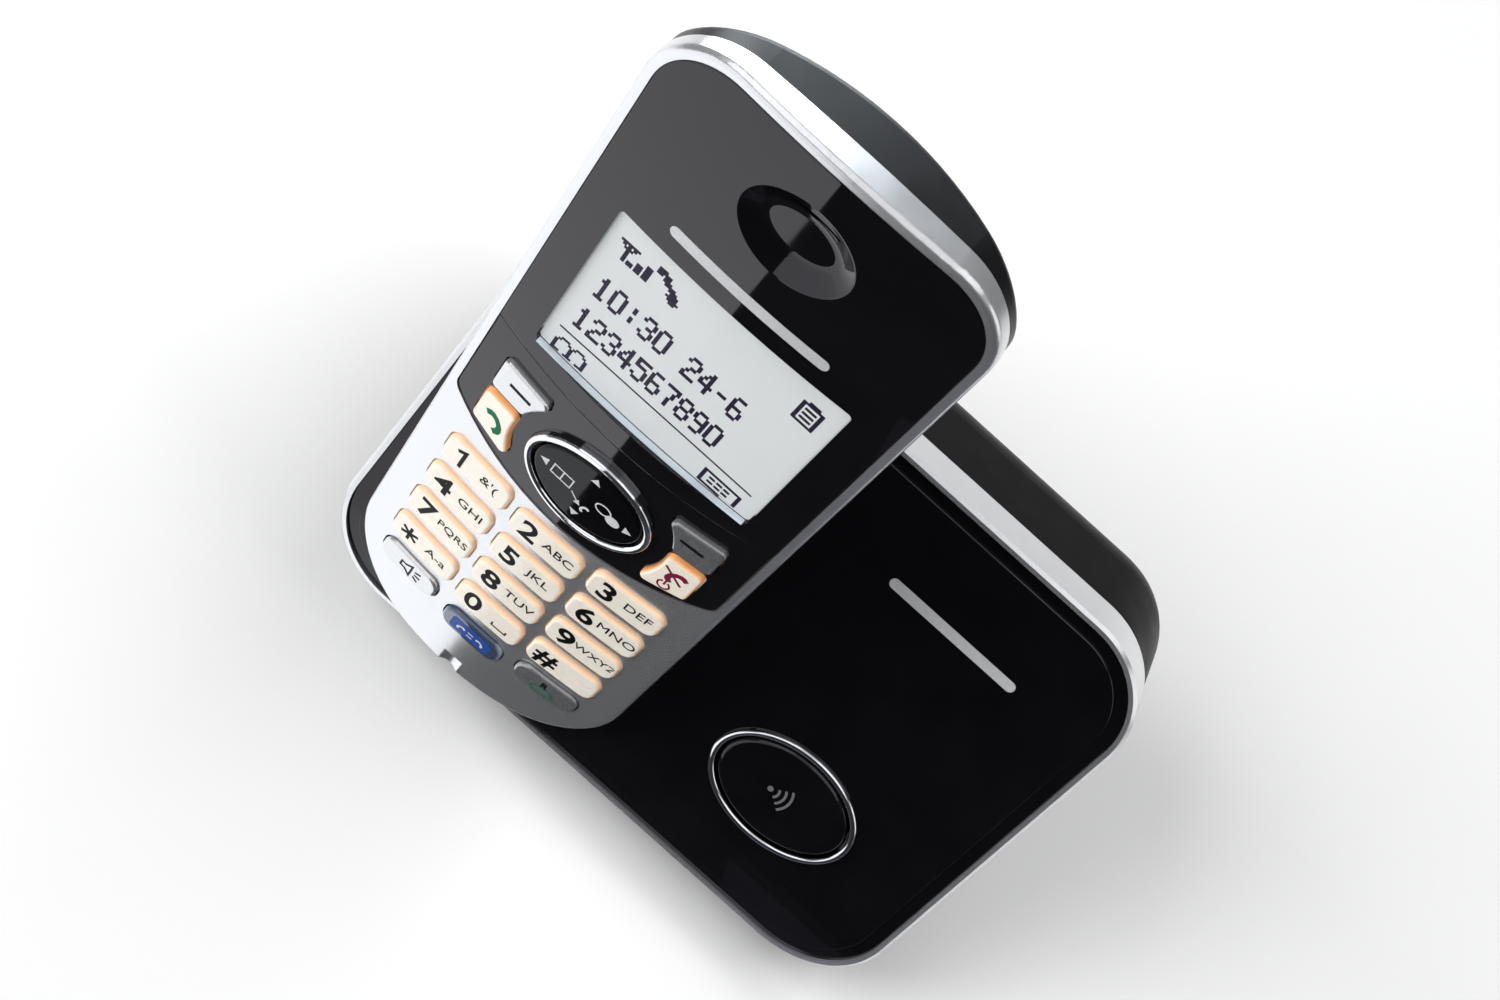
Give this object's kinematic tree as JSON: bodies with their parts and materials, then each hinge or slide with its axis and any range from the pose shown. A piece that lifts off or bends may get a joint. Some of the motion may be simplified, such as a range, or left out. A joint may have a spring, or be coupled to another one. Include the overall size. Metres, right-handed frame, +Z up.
{
  "type": "cordless telephone with charging base",
  "caption": "Slim cordless handset with display and keypad, leaning in the cradle of a rounded black desk base that has an oval handset-locator button.",
  "frame": {"origin": "on the desk, under the middle of the whole set's bounding box", "axes": "+Z up, +X to the user's right, -Y towards the user; the handset leans back 15 degrees and the base panel 40 degrees, both about X"},
  "size_m": [0.1106, 0.0738, 0.1558],
  "materials": {
    "silver_plastic": "silver lacquer, satin",
    "gloss_black": "high gloss",
    "satin_black": "satin",
    "chrome_trim": "bright plated",
    "clear_window": "clear, polished",
    "display_face": "lit liquid crystal display",
    "white_plastic": "diffusing",
    "key_cream": "translucent, lit from behind",
    "key_silver": "silver lacquer",
    "key_dark_silver": "dark silver lacquer",
    "key_blue": "translucent blue",
    "keypad_rubber": "translucent silicone",
    "dark_plastic": "moulded",
    "circuit_board": "solder mask",
    "speaker_metal": "pressed",
    "cell_sleeve": "shrink sleeve",
    "contact_metal": "nickel plated",
    "screw_steel": "zinc plated",
    "foot_rubber": "matt"
  },
  "bodies": {
    "base": {"base_rear_housing": "satin_black", "base_front_panel": "gloss_black", "base_trim_band": "silver_plastic", "handset_cradle": "satin_black", "base_charge_contacts": "contact_metal", "locator_ring": "chrome_trim", "locator_switch": "dark_plastic", "locator_board": "circuit_board", "base_board": "circuit_board", "line_jack": "dark_plastic", "dc_jack": "dark_plastic", "rubber_feet": "foot_rubber", "base_screws": "screw_steel"},
    "handset": {"handset_front_case": "silver_plastic", "lens_panel": "gloss_black", "control_bezel": "gloss_black", "display_window": "clear_window", "display_module": "display_face", "display_light_guide": "white_plastic", "navigator_ring": "chrome_trim", "keypad_mat": "keypad_rubber", "handset_board": "circuit_board", "earpiece_speaker": "speaker_metal", "ringer_speaker": "speaker_metal", "microphone": "speaker_metal", "handset_rear_case": "satin_black", "battery_cells": "cell_sleeve", "battery_contacts": "contact_metal", "handset_charge_contacts": "contact_metal", "handset_screws": "screw_steel"},
    "locator_button": {"locator_button": "gloss_black"},
    "battery_door": {"battery_door": "satin_black"},
    "key_1": {"key_1": "key_cream"},
    "key_2": {"key_2": "key_cream"},
    "key_3": {"key_3": "key_cream"},
    "key_4": {"key_4": "key_cream"},
    "key_5": {"key_5": "key_cream"},
    "key_6": {"key_6": "key_cream"},
    "key_7": {"key_7": "key_cream"},
    "key_8": {"key_8": "key_cream"},
    "key_9": {"key_9": "key_cream"},
    "key_star": {"key_star": "key_cream"},
    "key_0": {"key_0": "key_cream"},
    "key_hash": {"key_hash": "key_cream"},
    "key_speakerphone": {"key_speakerphone": "key_silver"},
    "key_intercom": {"key_intercom": "key_blue"},
    "key_recall": {"key_recall": "key_dark_silver"},
    "soft_key_left": {"soft_key_left": "key_silver"},
    "soft_key_right": {"soft_key_right": "key_dark_silver"},
    "key_talk": {"key_talk": "key_cream"},
    "key_off": {"key_off": "key_cream"},
    "navigator_gimbal": {"navigator_gimbal": "dark_plastic"},
    "navigator_key": {"navigator_key": "gloss_black"}
  },
  "joints": [
    {"name": "handset_lift", "type": "slide", "parent": "base", "child": "handset", "axis": [0, 0.2588, 0.9659], "range_m": [0, 0.13]},
    {"name": "locator_press", "type": "slide", "parent": "base", "child": "locator_button", "axis": [0, 0.766, -0.6428], "range_m": [0, 0.0006], "stiffness_N_per_m": 2000},
    {"name": "battery_door_off", "type": "slide", "parent": "handset", "child": "battery_door", "axis": [0, 0.9659, -0.2588], "range_m": [0, 0.012]},
    {"name": "key_1_press", "type": "slide", "parent": "handset", "child": "key_1", "axis": [0, 0.9659, -0.2588], "range_m": [0, 0.0005], "stiffness_N_per_m": 1500},
    {"name": "key_2_press", "type": "slide", "parent": "handset", "child": "key_2", "axis": [0, 0.9659, -0.2588], "range_m": [0, 0.0005], "stiffness_N_per_m": 1500},
    {"name": "key_3_press", "type": "slide", "parent": "handset", "child": "key_3", "axis": [0, 0.9659, -0.2588], "range_m": [0, 0.0005], "stiffness_N_per_m": 1500},
    {"name": "key_4_press", "type": "slide", "parent": "handset", "child": "key_4", "axis": [0, 0.9659, -0.2588], "range_m": [0, 0.0005], "stiffness_N_per_m": 1500},
    {"name": "key_5_press", "type": "slide", "parent": "handset", "child": "key_5", "axis": [0, 0.9659, -0.2588], "range_m": [0, 0.0005], "stiffness_N_per_m": 1500},
    {"name": "key_6_press", "type": "slide", "parent": "handset", "child": "key_6", "axis": [0, 0.9659, -0.2588], "range_m": [0, 0.0005], "stiffness_N_per_m": 1500},
    {"name": "key_7_press", "type": "slide", "parent": "handset", "child": "key_7", "axis": [0, 0.9659, -0.2588], "range_m": [0, 0.0005], "stiffness_N_per_m": 1500},
    {"name": "key_8_press", "type": "slide", "parent": "handset", "child": "key_8", "axis": [0, 0.9659, -0.2588], "range_m": [0, 0.0005], "stiffness_N_per_m": 1500},
    {"name": "key_9_press", "type": "slide", "parent": "handset", "child": "key_9", "axis": [0, 0.9659, -0.2588], "range_m": [0, 0.0005], "stiffness_N_per_m": 1500},
    {"name": "key_star_press", "type": "slide", "parent": "handset", "child": "key_star", "axis": [0, 0.9659, -0.2588], "range_m": [0, 0.0005], "stiffness_N_per_m": 1500},
    {"name": "key_0_press", "type": "slide", "parent": "handset", "child": "key_0", "axis": [0, 0.9659, -0.2588], "range_m": [0, 0.0005], "stiffness_N_per_m": 1500},
    {"name": "key_hash_press", "type": "slide", "parent": "handset", "child": "key_hash", "axis": [0, 0.9659, -0.2588], "range_m": [0, 0.0005], "stiffness_N_per_m": 1500},
    {"name": "key_speakerphone_press", "type": "slide", "parent": "handset", "child": "key_speakerphone", "axis": [0, 0.9659, -0.2588], "range_m": [0, 0.0005], "stiffness_N_per_m": 1500},
    {"name": "key_intercom_press", "type": "slide", "parent": "handset", "child": "key_intercom", "axis": [0, 0.9659, -0.2588], "range_m": [0, 0.0005], "stiffness_N_per_m": 1500},
    {"name": "key_recall_press", "type": "slide", "parent": "handset", "child": "key_recall", "axis": [0, 0.9659, -0.2588], "range_m": [0, 0.0005], "stiffness_N_per_m": 1500},
    {"name": "soft_key_left_press", "type": "slide", "parent": "handset", "child": "soft_key_left", "axis": [0, 0.9659, -0.2588], "range_m": [0, 0.0005], "stiffness_N_per_m": 1500},
    {"name": "soft_key_right_press", "type": "slide", "parent": "handset", "child": "soft_key_right", "axis": [0, 0.9659, -0.2588], "range_m": [0, 0.0005], "stiffness_N_per_m": 1500},
    {"name": "key_talk_press", "type": "slide", "parent": "handset", "child": "key_talk", "axis": [0, 0.9659, -0.2588], "range_m": [0, 0.0005], "stiffness_N_per_m": 1500},
    {"name": "key_off_press", "type": "slide", "parent": "handset", "child": "key_off", "axis": [0, 0.9659, -0.2588], "range_m": [0, 0.0005], "stiffness_N_per_m": 1500},
    {"name": "navigator_tilt_up_down", "type": "hinge", "parent": "handset", "child": "navigator_gimbal", "pos_m": [-0.0255, -0.01519, 0.07768], "axis": [1, 0, 0], "range_deg": [-2, 2], "stiffness_Nm_per_rad": 0.02},
    {"name": "navigator_tilt_left_right", "type": "hinge", "parent": "navigator_gimbal", "child": "navigator_key", "pos_m": [-0.0255, -0.01519, 0.07768], "axis": [0, 0.2588, 0.9659], "range_deg": [-2, 2], "stiffness_Nm_per_rad": 0.02}
  ]
}
